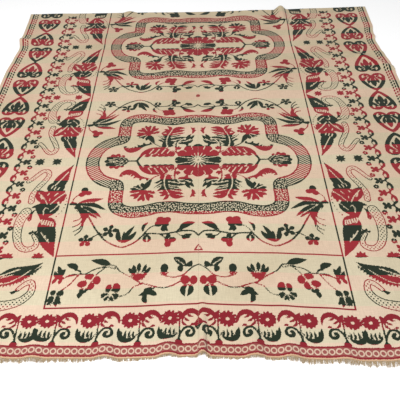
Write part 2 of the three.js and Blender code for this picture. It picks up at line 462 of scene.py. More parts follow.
def medallion(chart):
    """Flowers and leaves inside the ribbon: one quarter, turned over at its middle row."""
    chart.draw([Bloom(0, 0, 100, 12, notch=0.13, turn=90)], ROWS)
    gaps = [[(40, 13), (98, 25)], [(52, 52), (66, 66)], [(24, 66), (30, 84)], [(90, 0), (97, 0)]]
    gaps += [[from_point(0, 0, a, 6), from_point(0, 0, a, 44)] for a in (0, 22.5, 45, 67.5, 90)]
    chart.draw(lines(*gaps, wide=5), QUARTERS, out=True)
    chart.draw([Bloom(351, 1, 50, 11, notch=0.24, tall=0.94), Blob(307, 0, 10, 11)], ROWS)
    veins = lines(
        [(322, 0), (378, 0)], [(322, 5), (344, 15), (366, 19)], [(346, 3), (366, 8), (384, 8)],
        [(312, 8), (326, 24), (334, 33)], [(332, 20), (350, 30)], wide=4,
    )
    chart.draw([Blob(306, 0, 3.6, 4.4), *veins], QUARTERS, out=True)

    acanthus = [Leaf([(94, 40), (128, 52), (170, 62), (210, 60), (240, 44), (252, 28)], 42, fat=0.52)]
    acanthus += [Leaf([(x - 13, 50), (x - 6, 33), (x + 12, 29)], 19) for x in (118, 142, 166, 192, 222)]
    acanthus += [Strip([(238, 44), (250, 24), (262, 0)], 13, end=8), Strip([(258, 0), (296, 0)], 7)]
    chart.draw(acanthus, QUARTERS)
    chart.draw(
        lines(*[[(x - 9, 72), (x, 58), (x + 8, 44)] for x in (126, 151, 177, 203)], wide=5.6), QUARTERS,
        out=True,
    )

    crest = toothed(
        [(330, 94), (316, 70), (292, 60), (268, 72), (242, 96), (196, 107)], 20, 9, 27, 10, side=-1,
    )
    petals = [(3, 60), (26, 62), (48, 58), (70, 60), (92, 58), (114, 60), (138, 56), (166, 50)]
    flower = [Blob(222, 186, 26, 17)]
    flower += [Leaf([(220, 175), from_point(220, 175, a, r)], 20, fat=0.6) for a, r in petals]
    calyx = [
        Leaf([(220, 172), tip], w, fat=0.6)
        for tip, w in (((232, 128), 18), ((250, 138), 16), ((266, 146), 16), ((280, 160), 18))
    ]
    stems = [
        Strip([(100, 52), (140, 76), (182, 98), (208, 128), (216, 166)], 5),
        Leaf([(188, 108), (206, 134), (216, 166)], 24, fat=0.6),
        Strip([(92, 44), (98, 72), (97, 110)], 6), Strip([(131, 84), (130, 130), (118, 184)], 14),
        Strip([(146, 88), (150, 128), (130, 190)], 14),
    ]
    leaves = [
        [(132, 84), (118, 92), (104, 90)], [(132, 96), (116, 106), (104, 104)],
        [(134, 112), (112, 116), (95, 122)], [(134, 124), (102, 136), (74, 152)],
        [(130, 142), (102, 156), (70, 166)], [(124, 162), (96, 170), (60, 176)],
        [(122, 174), (90, 186), (56, 196)], [(120, 186), (92, 208), (54, 208)],
        [(142, 82), (154, 96), (160, 106)], [(144, 112), (160, 126), (182, 132)],
        [(144, 128), (160, 146), (184, 164)], [(140, 146), (150, 164), (168, 178)],
        [(132, 172), (144, 186), (164, 180)], [(128, 182), (142, 198), (158, 202)],
        [(126, 190), (126, 210), (142, 226)],
        [(98, 108), (70, 122), (40, 110)], [(74, 118), (40, 112), (20, 130)],
        [(58, 124), (34, 136), (16, 160)], [(54, 130), (44, 148), (30, 168)],
        [(96, 116), (80, 138), (52, 146)], [(72, 80), (86, 72), (84, 92)], [(46, 84), (54, 106), (88, 104)],
        [(28, 166), (20, 190), (36, 218)], [(24, 182), (16, 192), (6, 190)],
        [(28, 200), (18, 206), (10, 204)],
    ]
    widths = [
        12, 13, 13, 18, 19, 17, 19, 21, 12, 14, 15, 14, 12, 13, 15, 19, 17, 17, 14, 17, 14, 17, 13, 9, 9,
    ]
    leaves = [Leaf(run, wide, fat=0.45) for run, wide in zip(leaves, widths)]
    chart.draw(crest + flower + calyx + stems + leaves, QUARTERS)
    clefts = [(15, 22), (37, 50), (59, 22), (81, 50), (103, 22), (126, 50), (152, 22)]
    inside = lines(
        [(112, 54), (134, 88), (140, 128), (134, 160), (118, 194)], [(86, 116), (56, 118), (34, 132)],
        [(92, 106), (76, 128), (58, 138)],
        *[[from_point(220, 176, a, r), from_point(220, 176, a, 60)] for a, r in clefts],
        [(228, 160), (240, 144)], [(236, 166), (260, 154)], [(122, 126), (98, 130), (76, 136)],
        [(122, 146), (96, 150), (66, 154)],
        [(118, 156), (88, 164), (58, 168)], [(114, 170), (86, 178), (54, 184)],
        [(150, 142), (168, 152), (188, 176)], [(152, 124), (170, 140), (190, 146)],
        wide=5.3,
    )
    chart.draw(inside, QUARTERS, out=True)


def corner_spray(chart):
    """Leaves that grow from the frame line into the corner outside the ribbon."""
    marks = [
        Leaf([(514, 240), (496, 235), (474, 241)], 13), Strip([(508, 241), (470, 242)], 6),
        Leaf([(482, 241), (440, 226), (374, 212)], 24, fat=0.42),
        Leaf([(478, 240), (420, 242), (352, 276)], 20, fat=0.4),
        Leaf([(472, 244), (420, 270), (368, 314)], 16), Leaf([(458, 258), (424, 284), (384, 318)], 13),
        Leaf([(490, 252), (458, 276), (440, 306), (444, 340)], 27, fat=0.42),
        Blob(460, 166, 14, 15), Blob(443, 182, 14, 11), Blob(468, 190, 13, 12), Blob(456, 179, 10),
        Strip([(502, 232), (494, 206), (476, 188)], 5),
        *lines(
            [(446, 286), (458, 314), (480, 322)], [(442, 300), (454, 336), (478, 350)],
            [(440, 316), (450, 356), (472, 372)], [(440, 326), (444, 366), (466, 390)],
        ),
    ]
    chart.draw(marks, QUARTERS)
    chart.draw(
        lines(
            [(462, 234), (416, 230), (372, 224)], [(460, 247), (416, 257), (366, 284)],
            [(450, 262), (420, 282), (386, 306)], [(478, 264), (462, 290), (458, 310)],
        ),
        QUARTERS, out=True,
    )


def vine(chart):
    """The flowering stem between the ribbons and along their ends."""
    stem = [
        (482, 246), (440, 282), (408, 332), (382, 375), (349, 414), (316, 437), (283, 449), (258, 442),
        (230, 424),
        (211, 401), (197, 391), (158, 391), (132, 394), (86, 386), (53, 381), (20, 384), (0, 404),
    ]
    marks = [
        Strip(stem, 6.6, per=4), Strip([(374, 384), (396, 400), (412, 414)], 5),
        *fan(420, 416, -90, 198, 5, 29, 19), Blob(420, 416, 7),
        *fan(334, 374, -170, 110, 5, 32, 18), Blob(334, 374, 7),
        Strip([(336, 384), (362, 386), (382, 374)], 5),
        Leaf([(279, 432), (252, 406), (231, 376)], 18), Leaf([(281, 432), (266, 390), (240, 350)], 17),
        Leaf([(283, 432), (281, 404), (279, 372)], 9), Leaf([(286, 432), (300, 402), (302, 364)], 19),
        Leaf([(209, 384), (206, 356), (190, 335)], 16), Leaf([(194, 394), (182, 414), (192, 432)], 12),
        Leaf([(196, 396), (202, 416), (192, 432)], 12),
        Blob(120, 326, 15, 14), Blob(146, 324, 16, 14), Blob(152, 344, 15, 14), Blob(126, 348, 14, 13),
        Blob(138, 338, 12),
        Leaf([(132, 356), (122, 372), (112, 380)], 13), Leaf([(134, 354), (136, 368), (130, 384)], 15),
        Strip([(150, 356), (178, 358), (206, 392)], 4.9),
        Leaf([(76, 380), (48, 352), (10, 342)], 27), Strip([(74, 372), (84, 388)], 4.9),
    ]
    chart.draw(marks, OUTER)
    hanging = [
        Blob(113, 404, 9), Blob(97, 421, 14, 12), Blob(114, 440, 12, 14),
        Leaf([(118, 406), (120, 420), (114, 434)], 13), Strip([(120, 416), (144, 394)], 4.9),
        Leaf([(54, 394), (38, 402), (22, 396)], 13), Leaf([(56, 404), (40, 412), (28, 410)], 13),
        Leaf([(60, 400), (54, 414), (44, 420)], 13), Strip([(84, 388), (68, 402), (54, 404)], 4.9),
    ]
    chart.draw(hanging, OUTER)
    chart.draw(lines([(204, 372), (197, 348)]), OUTER, out=True)
    chart.draw(star(0, 821, 13), [(0, 1.0)])
    chart.draw([Strip([(0, 1718), (14, 1741), (-14, 1741), (0, 1718)], 4.9, per=1)])


def front_vine(chart):
    """The fruiting vine in the panel before the flower border."""
    marks = [
        Strip([(0, 1804), (22, 1816), (40, 1834), (59, 1850), (92, 1855), (122, 1846)], 5),
        Strip(
            [
                (63, 1873), (92, 1889), (128, 1896), (178, 1880), (204, 1872), (237, 1848), (276, 1824),
                (296, 1800), (318, 1794),
            ],
            5.4,
        ),
        Leaf([(90, 1772), (66, 1788), (40, 1814)], 29, fat=0.45),
        Leaf([(44, 1810), (32, 1804), (24, 1788)], 20), Leaf([(56, 1806), (64, 1818), (60, 1836)], 22),
        Blob(121, 1816, 14, 18), *fan(121, 1832, 15, 165, 5, 18, 6), Strip([(121, 1832), (121, 1846)], 4.9),
        Blob(47, 1867, 16, 18), Blob(17, 1869, 13, 18), Leaf([(34, 1884), (26, 1906), (40, 1934)], 20),
        Leaf([(38, 1886), (54, 1904), (48, 1934)], 20),
        Leaf([(200, 1838), (182, 1828), (170, 1808)], 13, fat=0.6),
        Leaf([(204, 1836), (192, 1818), (186, 1796)], 13, fat=0.6),
        Leaf([(208, 1836), (211, 1814), (212, 1788)], 15, fat=0.6),
        Leaf([(213, 1836), (226, 1820), (232, 1796)], 13, fat=0.6),
        Leaf([(216, 1838), (236, 1828), (248, 1808)], 13, fat=0.6),
        Leaf([(180, 1838), (206, 1842), (236, 1838)], 8), *fan(208, 1838, 8, 172, 7, 28, 8),
        Blob(208, 1844, 10, 8),
        Leaf([(314, 1794), (346, 1782), (388, 1774)], 26, fat=0.4),
        Strip([(296, 1812), (329, 1804), (368, 1813), (395, 1830), (412, 1832)], 5),
        Leaf([(410, 1830), (424, 1816), (436, 1818)], 8),
        Leaf([(432, 1820), (440, 1800), (472, 1788)], 24, fat=0.5),
        Leaf([(412, 1832), (450, 1836), (476, 1848)], 9),
        Leaf([(480, 1842), (488, 1818), (500, 1792)], 16), Leaf([(478, 1842), (478, 1822), (470, 1806)], 14),
        Leaf([(482, 1844), (500, 1834), (508, 1814)], 15),
        Leaf([(474, 1848), (482, 1858), (482, 1872)], 14), Leaf([(492, 1848), (502, 1856), (508, 1870)], 14),
        Strip([(470, 1846), (502, 1844)], 6),
        Strip([(420, 1834), (447, 1873), (467, 1892), (484, 1908)], 4.9),
        Blob(473, 1908, 12, 13, -20), Blob(497, 1902, 11, 9), Blob(482, 1930, 13, 16),
        Blob(500, 1926, 10, 18), *fan(488, 1920, 30, 130, 5, 40, 11),
        Strip([(330, 1806), (358, 1834), (376, 1870), (396, 1902)], 4.9),
        Blob(381, 1844, 18, 13, 10), Blob(354, 1858, 13, 17, 10), Blob(403, 1872, 17, 13, 15),
        Blob(373, 1882, 13, 15, -20), Blob(396, 1898, 14, 11),
        Leaf([(398, 1900), (406, 1916), (406, 1930)], 18),
        Strip([(197, 1878), (224, 1889), (243, 1914), (278, 1928)], 4.9),
        Blob(284, 1890, 15, 19, 10), Blob(307, 1892, 13, 17), Blob(317, 1920, 15, 16, 30),
        Blob(292, 1926, 18, 13), *fan(302, 1914, 30, 170, 6, 34, 10),
        Leaf([(194, 1902), (168, 1902), (206, 1926)], 20), Leaf([(180, 1912), (160, 1914), (140, 1926)], 20),
        Leaf([(178, 1916), (184, 1936), (174, 1956)], 18), Blob(178, 1912, 11, 9),
        Strip([(150, 1894), (172, 1912)], 4.9),
    ]
    chart.draw(marks)
    veins = lines(
        [(80, 1780), (52, 1804)], [(38, 1892), (40, 1926)], [(362, 1838), (376, 1862), (394, 1896)],
        [(374, 1860), (392, 1854)], [(384, 1884), (404, 1888)], [(297, 1874), (300, 1906)],
        [(270, 1908), (332, 1908)], [(302, 1914), (306, 1944)], [(300, 1912), (284, 1936)],
        [(304, 1914), (330, 1934)],
        [(462, 1918), (512, 1914)], [(488, 1920), (492, 1958)], [(486, 1894), (487, 1912)],
    )
    chart.draw(veins, out=True)


def flower_border(chart):
    """Sunflowers, plumes and scrolls in a row along the front, turned over past the pair of flowers."""
    for stem, side in [(64, 1), (194, 1), (328, 1), (466, 1), (588, -1), (720, -1), (852, -1), (984, -1)]:
        head = stem + 30 if side > 0 else stem - 34
        plume = stem - 38 * side
        flower = [Bloom(head, FLOWER_ROW, 31, 13, notch=0.38)]
        bowl = [(4, 2058), (14, 2078), (36, 2085), (54, 2079), (63, 2062), (65, 2040)]
        flower.append(Leaf([(stem + side * x, y) for x, y in bowl], 18, fat=0.6))
        for x in (16, 29, 42, 55):
            barb = [(x - 4, 2080), (x + 1, 2066), (x - 3, 2049)]
            flower.append(Leaf([(stem + side * p, q) for p, q in barb], 7.6, fat=0.4))
        chart.draw(flower)
        chart.draw([Blob(head, FLOWER_ROW + 1, 6.6)], out=True)
        arch = [(-30, 2036), (-28, 2008), (-13, 1991), (8, 1990), (24, 2004), (27, 2028)]
        barbs = [
            [(14, 1996), (4, 2006), (-10, 2010)], [(25, 2008), (14, 2020), (0, 2026)],
            [(31, 2020), (23, 2034), (11, 2041)],
        ]
        frond = [Leaf([(plume + side * x, y) for x, y in arch], 19, fat=0.55)]
        frond += [Leaf([(plume + side * x, y) for x, y in barb], 8.5) for barb in barbs]
        chart.draw(frond)
        turns = [
            (stem - side * (33 - r * math.cos(a)), 2065 + r * math.sin(a))
            for a, r in zip(np.linspace(-0.4, -7.6, 20), np.linspace(23, 4, 20))
        ]
        chart.draw([
            Strip([(stem, 2082), (stem - 5 * side, 2068), *turns], 6, end=11, per=2),
            Leaf([(stem - 36 * side, 2042), (stem - 46 * side, 2036), (stem - 54 * side, 2041)], 9),
            Leaf([(stem + side, 2022), (stem - 6 * side, 2004), (stem + 4 * side, 1984)], 15),
            Strip([(stem, 2092), (stem - side, 2050), (stem - side, 2016)], 5),
            Leaf([(stem, 2080), (stem, 2108)], 24, fat=0.62),
        ])
    chart.draw([Leaf([(0, 2060), (0, 2014)], 26)])
    chart.draw([Strip([(-20, RING_ROW), (LOOM_WIDTH + 20, RING_ROW)], 36, per=1)])


def hearts(chart):
    """The column of hearts beside the selvedge, tip to tip and lobe to lobe, each with a lobed tree in it."""
    x = HEART_COLUMN
    branches = (
        [(5, 116), (20, 90), (24, 56)], [(6, 119), (32, 107), (42, 84)], [(7, 121), (24, 129), (38, 117)],
    )
    for n in range(-1, 6):
        tip = 210 + HEART_PITCH * n
        for way in (1, -1):
            chart.draw([Heart(x, tip, way)])
            chart.draw([Heart(x, tip + way * 5, way, shrink=15.5)], out=True)
            tree = [Leaf([(x, tip + way * 122), (x, tip + way * 31)], 27, fat=0.6)]
            tree += [
                Leaf([(x + side * p, tip + way * q) for p, q in branch], 14.5, fat=0.62)
                for side in (1, -1)
                for branch in branches
            ]
            chart.draw(tree)
    chart.draw(star(x, 1922, 22))


def side_chain(chart):
    """The chain of eyes, four-petalled flowers and rosettes between the birds and the hearts."""
    pitch = 450 / 7
    for n in range(-5, 26):
        y = MIDDLES[0] + n * pitch
        if y > 1950:
            continue
        between = y + pitch / 2
        petals = [(8.5, 9), (8.5, -9), (-8.5, 9), (-8.5, -9)]
        link = [Blob(PETAL_COLUMN + a, y + b, 7) for a, b in petals] + [Blob(PETAL_COLUMN, y, 6.5)]
        link += [Strip([(744, y), (757, y), (767, y + 13)], 7), Strip([(754, y), (766, y - 13)], 8)]
        link += [Blob(EYE_COLUMN, between, 13, 22), Bloom(ROSETTE_COLUMN, between, 12.5, 8, notch=0.34)]
        chart.draw(link)
        holes = [Blob(EYE_COLUMN - 3, between + 3, 5.2, 10), Blob(ROSETTE_COLUMN, between, 3.8)]
        chart.draw(holes, out=True)


def birds(chart):
    """Wings, necks and tufts that stand along the side, turned over at each repeat."""
    dark = [
        Leaf([(522, 8), (548, 60), (566, 112), (584, 172)], 58, fat=0.66, teeth=12, bite=0.1),
        Blob(580, 150, 36, 30),
        Leaf([(540, 166), (564, 200), (592, 244)], 46, fat=0.45),
        Leaf([(652, 164), (624, 202), (592, 244)], 48, fat=0.42),
        Leaf([(544, 176), (594, 190), (646, 176)], 34),
        *toothed([(552, 176), (542, 200), (550, 236)], 18, 5, 17, 9),
        Leaf([(593, 226), (595, 262), (606, 318)], 98, fat=0.3, teeth=7, bite=0.1),
        Leaf([(560, 234), (596, 250), (644, 238)], 22),
        Leaf([(622, 262), (640, 250), (660, 258)], 12), Leaf([(636, 262), (650, 286), (644, 322)], 11),
        Leaf([(648, 296), (656, 306), (650, 324)], 9),
        Blob(578, 344, 35, 41),
        Leaf([(580, 318), (572, 372), (555, 426), (523, 486)], 70, fat=0.34, teeth=13, bite=0.14),
    ]
    chart.draw(dark, OUTER)
    streaks = lines(
        [(544, 62), (566, 104), (586, 140)], [(566, 150), (572, 164)], [(580, 146), (586, 162)],
        [(594, 142), (598, 156)],
        [(536, 180), (560, 204), (586, 238)], [(644, 178), (618, 206), (598, 238)], [(566, 180), (578, 196)],
        [(600, 180), (606, 192)],
        [(556, 246), (566, 262), (580, 276)], [(588, 262), (600, 254), (606, 270), (602, 290)],
        [(634, 196), (624, 212)],
        *[[(554 + 9 * n, 346 - 2 * n), (558 + 9 * n, 324 - 2 * n)] for n in range(6)],
        [(594, 372), (576, 396), (554, 420)], [(572, 388), (574, 400)], [(560, 404), (562, 414)],
        wide=5.5,
    )
    chart.draw(streaks, OUTER, out=True)
    upper = [
        (700, 116), (684, 98), (664, 70), (646, 54), (628, 60), (622, 84), (634, 116), (652, 150), (666, 190),
        (664, 224),
    ]
    lower = [
        (672, 276), (684, 310), (686, 350), (678, 396), (660, 434), (632, 450), (604, 440), (600, 416),
        (618, 386),
    ]
    chart.draw([Strip(upper, 20, end=27), Strip(lower, 44, end=18)], OUTER, into="tube")
    tufts = fan(622, 384, -170, -30, 4, 22, 10)
    beads = [
        (541, 176), (532, 192), (527, 208), (524, 224), (526, 240), (529, 256), (535, 272), (543, 286),
        (551, 298),
    ]
    tufts += [Blob(x, y, 3.6) for x, y in beads]
    chart.draw(tufts, OUTER)
    for row in MIDDLES:
        chart.draw(star(604, row, 24) + star(677, row, 24))
    for x in (582, 692):
        chart.draw(fan(x, 1757, -172, -8, 5, 27, 10, fat=0.4) + [Blob(x, 1753, 13, 7)])
    chart.draw(star(583, 821, 22) + star(690, 821, 22))


def corner_bird(chart):
    """The large bird in the front corner, with its neck laid back."""
    marks = [
        Leaf([(544, 1770), (598, 1806), (656, 1834), (716, 1848)], 68, fat=0.66, teeth=14, bite=0.1),
        *toothed([(556, 1790), (600, 1832), (650, 1862), (708, 1874)], 12, 15, 17, 6.5),
        Leaf([(650, 1900), (634, 1900), (620, 1888)], 11), Leaf([(640, 1900), (632, 1908)], 8),
    ]
    chart.draw(marks)
    light = [[(630 + 11 * n, 1806 + 5 * n), (650 + 11 * n, 1812 + 5 * n)] for n in range(6)]
    light += [[(652 + 10 * n, 1828 + 3 * n), (662 + 10 * n, 1834 + 3 * n)] for n in range(4)]
    light = lines(*light, wide=4.8) + lines([(594, 1810), (624, 1838), (664, 1862), (706, 1864)])
    chart.draw(light, out=True)
    neck = [
        (622, 1890), (602, 1868), (582, 1860), (573, 1880), (578, 1908), (606, 1936), (646, 1950),
        (688, 1954),
    ]
    chart.draw([Strip(neck, 17, end=42)], into="tube")


def woven_chart():
    chart = Chart()
    for part in (
        ribbon, medallion, corner_spray, vine, front_vine, flower_border, hearts, side_chain, birds,
        corner_bird,
    ):
        part(chart)
    return chart


# Finishes


def paint(red, green, blue):
    """Linear colour from the eye's 0 to 255 scale."""
    shares = [c / 255 for c in (red, green, blue)]
    return (*[c / 12.92 if c <= 0.04 else ((c + 0.055) / 1.055) ** 2.4 for c in shares], 1.0)


class Shading:
    """Adds nodes to a material or group and links their inputs."""

    def __init__(self, tree):
        self.tree = tree

    def add(self, kind, values=(), **settings):
        made = self.tree.nodes.new(kind)
        for name, value in settings.items():
            setattr(made, name, value)
        for key, value in dict(values).items():
            if isinstance(value, bpy.types.NodeSocket):
                self.link(value, made.inputs[key])
            else:
                made.inputs[key].default_value = value
        return made

    def link(self, value, socket):
        self.tree.links.new(value, socket)

    def math(self, operation, a, b=0.0, c=0.0):
        return self.add("ShaderNodeMath", {0: a, 1: b, 2: c}, operation=operation).outputs[0]

    def mix(self, share, a, b, blend="MIX"):
        return self.add(
            "ShaderNodeMix", {"Factor": share, 6: a, 7: b}, data_type="RGBA", blend_type=blend
        ).outputs[2]

    def noise(self, place, scale, detail=1.0, dimensions="2D"):
        values = {"Vector": place, "Scale": scale, "Detail": detail}
        return self.add("ShaderNodeTexNoise", values, noise_dimensions=dimensions).outputs[0]

    def split(self, vector):
        return self.add("ShaderNodeSeparateXYZ", {0: vector}).outputs


def effect(name, inputs, outputs):
    """An empty shader node group with named sockets."""
    group = bpy.data.node_groups.new(name, "ShaderNodeTree")
    for label, kind in inputs:
        group.interface.new_socket(name=label, in_out="INPUT", socket_type="NodeSocket" + kind)
    for label, kind in outputs:
        group.interface.new_socket(name=label, in_out="OUTPUT", socket_type="NodeSocket" + kind)
    made = Shading(group)
    return made, made.add("NodeGroupInput").outputs, made.add("NodeGroupOutput")


def yarn_grain():
    """Uneven spinning: darker and lighter yarn along one direction."""
    s, given, out = effect(
        "yarn_grain", [("Place", "Vector"), ("Colour", "Color"), ("Strength", "Float")], [("Colour", "Color")]
    )
    picks = s.add("ShaderNodeMapping", {"Vector": given["Place"], "Scale": (26.0, 420.0, 1.0)}).outputs[0]
    ends = s.add("ShaderNodeMapping", {"Vector": given["Place"], "Scale": (420.0, 26.0, 1.0)}).outputs[0]
    both = s.math("SUBTRACT", s.math("ADD", s.noise(picks, 1.0), s.noise(ends, 1.0)), 1.0)
    light = s.math("MULTIPLY_ADD", both, given["Strength"], 1.0)
    shade = s.add("ShaderNodeCombineColor", {0: light, 1: light, 2: light}).outputs[0]
    s.link(s.mix(1.0, given["Colour"], shade, "MULTIPLY"), out.inputs["Colour"])
    return s.tree


def near(s, value, middle, reach):
    """1 within reach of a middle value."""
    return s.math("LESS_THAN", s.math("ABSOLUTE", s.math("SUBTRACT", value, middle)), reach)


def waves(s, value, length):
    """Swings between -1 and 1 over each length."""
    return s.math("SINE", s.math("MULTIPLY", value, 2 * math.pi / length))


def woven_figures():
    """Reads the chart: where the coloured figure weave shows, and where the colour of the weft is red."""
    s, given, out = effect("woven_figures", [("Place", "Vector")], [("Figure", "Float"), ("Red", "Float")])
    flat = s.add("ShaderNodeVectorMath", {0: given["Place"], "Scale": 1000.0}, operation="SCALE").outputs[0]
    u, w, _ = s.split(flat)
    across = s.math("ABSOLUTE", u)
    cell = s.add("ShaderNodeVectorMath", {0: flat, 1: (2.6, 2.2, 1.0)}, operation="SNAP").outputs[0]
    stray = s.add("ShaderNodeTexWhiteNoise", {"Vector": cell}, noise_dimensions="2D").outputs["Value"]
    ragged = s.math("MULTIPLY_ADD", stray, 1.8, -0.9)
    fill, half, tube = s.split(s.add("ShaderNodeAttribute", attribute_name="figure").outputs["Vector"])
    band = s.add("ShaderNodeAttribute", attribute_name="band").outputs["Fac"]
    red = s.math("GREATER_THAN", band, 0.0)

    solid = s.math("LESS_THAN", s.math("ADD", fill, ragged), 0.2)

    inner = s.math("ADD", half, ragged)
    rim = near(s, inner, -RIM / 2, RIM / 2)
    specks = s.add(
        "ShaderNodeTexVoronoi", {"Vector": flat, "Scale": NET_SCALE, "Randomness": 0.8},
        voronoi_dimensions="2D", feature="F1"
    ).outputs["Distance"]
    net = s.math("GREATER_THAN", s.math("MULTIPLY_ADD", stray, 0.14, specks), 0.40)
    slant = waves(s, s.math("MULTIPLY_ADD", across, 0.6, w), STRIPE_PITCH)
    stripes = s.math("GREATER_THAN", s.math("MULTIPLY_ADD", stray, 0.5, slant), 0.05)
    net = s.mix(s.math("GREATER_THAN", across, STRIPES_FROM), net, stripes)
    filling = s.math("MULTIPLY", s.math("LESS_THAN", inner, -RIM), net)

    hollow = s.math("ADD", tube, ragged)
    skin = near(s, hollow, -SKIN / 2, SKIN / 2)
    spots = s.math("MULTIPLY", waves(s, across, 14), waves(s, w, 16))
    dots = s.math("MULTIPLY", s.math("LESS_THAN", hollow, -7.0), s.math("GREATER_THAN", spots, 0.42))

    uprights = s.math(
        "MULTIPLY", near(s, across, FRAME_COLUMN, FRAME_LINE), s.math("LESS_THAN", w, FRAME_END),
    )
    bow = s.math("POWER", s.math("MINIMUM", s.math("DIVIDE", across, FIELD), 1.0), 2.0)
    level = s.math("SUBTRACT", w, s.math("MULTIPLY", bow, BOW))
    cross = s.math("MAXIMUM", *[near(s, level, row, CROSS_LINE) for row in CROSS_ROWS])
    cross = s.math("MULTIPLY", cross, s.math("LESS_THAN", across, CROSS_END))
    columns = s.math("MAXIMUM", *[near(s, across, column, DASH_LINE) for column in DASH_COLUMNS])
    step = s.math("MULTIPLY_ADD", w, 2 * math.pi / DASH_PITCH, s.math("MULTIPLY", across, math.pi / 12))
    dashes = s.math("MULTIPLY", columns, s.math("GREATER_THAN", s.math("SINE", step), -0.55))
    edging = s.math("MAXIMUM", dashes, near(s, across, SELVEDGE_COLUMN, SELVEDGE_LINE))
    edging = s.math("MULTIPLY", edging, s.math("LESS_THAN", w, SELVEDGE_END))

    marks = solid
    for more in (rim, filling, skin, dots, uprights, cross, edging):
        marks = s.math("MAXIMUM", marks, more)
    turn = s.math("SUBTRACT", s.math("MODULO", across, RING_PITCH), RING_PITCH / 2)
    off = s.math("SUBTRACT", w, RING_ROW)
    away = s.math("SQRT", s.math("ADD", s.math("MULTIPLY", turn, turn), s.math("MULTIPLY", off, off)))
    ring = near(s, s.math("MULTIPLY_ADD", stray, 0.8, away), RING_RADIUS, 2.1)
    field = s.math("MULTIPLY", near(s, w, RING_ROW, 13.0), s.math("MULTIPLY_ADD", ring, -0.72, -0.14))
    marks = s.math("MAXIMUM", s.math("ADD", marks, field), 0.0)
    s.link(marks, out.inputs["Figure"])
    s.link(red, out.inputs["Red"])
    return s.tree


def matt(name, roughness, shine):
    """A dull material, its nodes and its shader."""
    material = bpy.data.materials.new(name)
    material.use_nodes = True
    s = Shading(material.node_tree)
    shader = s.tree.nodes["Principled BSDF"]
    shader.inputs["Roughness"].default_value = roughness
    shader.inputs["Specular IOR Level"].default_value = shine
    return material, s, shader


def woven_cloth():
    """Wool weft and cotton ground in a matt double weave."""
    material, s, shader = matt("woven_cloth", 0.95, 0.15)
    place_on_cloth = s.add("ShaderNodeUVMap", uv_map="cloth").outputs[0]
    figures = s.add("ShaderNodeGroup", node_tree=woven_figures())
    s.link(place_on_cloth, figures.inputs["Place"])
    red = figures.outputs["Red"]
    _, w, _ = s.split(place_on_cloth)
    front = s.add("ShaderNodeMapRange", {"Value": w, 1: 1.85, 2: 1.99}).outputs[0]
    madder = s.mix(front, paint(130, 28, 35), paint(114, 20, 30))
    dyed = s.mix(red, paint(22, 33, 19), madder)
    faded = s.add("ShaderNodeMapRange", {"Value": w, 1: 0.2, 2: 2.0}).outputs[0]
    green_ground = s.mix(faded, paint(182, 167, 139), paint(179, 169, 144))
    ground = s.mix(red, green_ground, s.mix(faded, paint(191, 164, 140), paint(187, 166, 145)))
    ground = s.mix(s.math("GREATER_THAN", w, HEADING), ground, paint(176, 143, 114))
    colour = s.mix(figures.outputs["Figure"], ground, dyed)
    grain = s.add("ShaderNodeGroup", node_tree=yarn_grain())
    s.link(place_on_cloth, grain.inputs["Place"])
    s.link(colour, grain.inputs["Colour"])
    grain.inputs["Strength"].default_value = 0.22
    stain = s.noise(place_on_cloth, 3.1, 2.0)
    soiled = s.math("MULTIPLY_ADD", stain, 0.5, -0.17)
    aged = s.mix(soiled, grain.outputs["Colour"], paint(186, 158, 118), "MULTIPLY")
    x, y, _ = s.split(place_on_cloth)
    knots = s.math("MULTIPLY", waves(s, x, WEAVE_PITCH), waves(s, y, WEAVE_PITCH))
    raised = s.math("MULTIPLY_ADD", figures.outputs["Figure"], 0.6, s.math("MULTIPLY", knots, 0.35))
    bump = s.add("ShaderNodeBump", {"Height": raised, "Distance": 0.0006, "Strength": 0.5})
    s.link(aged, shader.inputs["Base Color"])
    s.link(bump.outputs[0], shader.inputs["Normal"])
    shader.inputs["Sheen Weight"].default_value = 0.08
    shader.inputs["Sheen Roughness"].default_value = 0.6
    return material


def sewing_thread():
    """The cotton that draws the two widths together."""
    material, s, shader = matt("sewing_thread", 0.95, 0.15)
    here = s.add("ShaderNodeTexCoord").outputs["Object"]
    wear = s.noise(here, 60.0, dimensions="3D")
    s.link(s.mix(wear, paint(196, 180, 152), paint(176, 158, 130)), shader.inputs["Base Color"])
    return material


def loose_yarn():
    """Worn cotton ends, greyer in patches."""
    material, s, shader = matt("loose_yarn", 0.97, 0.1)
    here = s.add("ShaderNodeTexCoord").outputs["Object"]
    fine = s.noise(here, 420.0, dimensions="3D")
    tufts = s.noise(here, 28.0, dimensions="3D")
    colour = s.mix(fine, paint(178, 157, 126), paint(146, 124, 95))
    colour = s.mix(s.math("MULTIPLY", tufts, 0.35), colour, paint(126, 106, 80))
    s.link(colour, shader.inputs["Base Color"])
    twist = s.noise(here, 1400.0, 0.0, dimensions="3D")
    bump = s.add("ShaderNodeBump", {"Height": twist, "Distance": 0.0003, "Strength": 0.4})
    s.link(bump.outputs[0], shader.inputs["Normal"])
    return material


# Camera


def photo_camera():
    """Stands at the fringed end and looks down at the cloth, turned slightly as the photograph is."""
    down, aside, roll = math.radians(49.34), math.radians(-0.75), math.radians(1.35)
    ahead = Vector((math.sin(aside) * math.cos(down), math.cos(aside) * math.cos(down), -math.sin(down)))
    right = Vector((math.cos(aside), -math.sin(aside), 0.0))
    under = ahead.cross(right)
    turned = math.cos(roll) * right + math.sin(roll) * under
    low = math.cos(roll) * under - math.sin(roll) * right
    data = bpy.data.cameras.new("photo_camera")
    data.sensor_width = 36.0
    data.lens = 43.2
    data.clip_start, data.clip_end = 0.05, 50.0
    camera = bpy.data.objects.new("photo_camera", data)
    stand = Matrix.Translation((0.0205, -1.6578, 1.453))
    camera.matrix_world = stand @ Matrix((turned, -low, -ahead)).transposed().to_4x4()
    scene.collection.objects.link(camera)
    scene.camera = camera


# Pieces


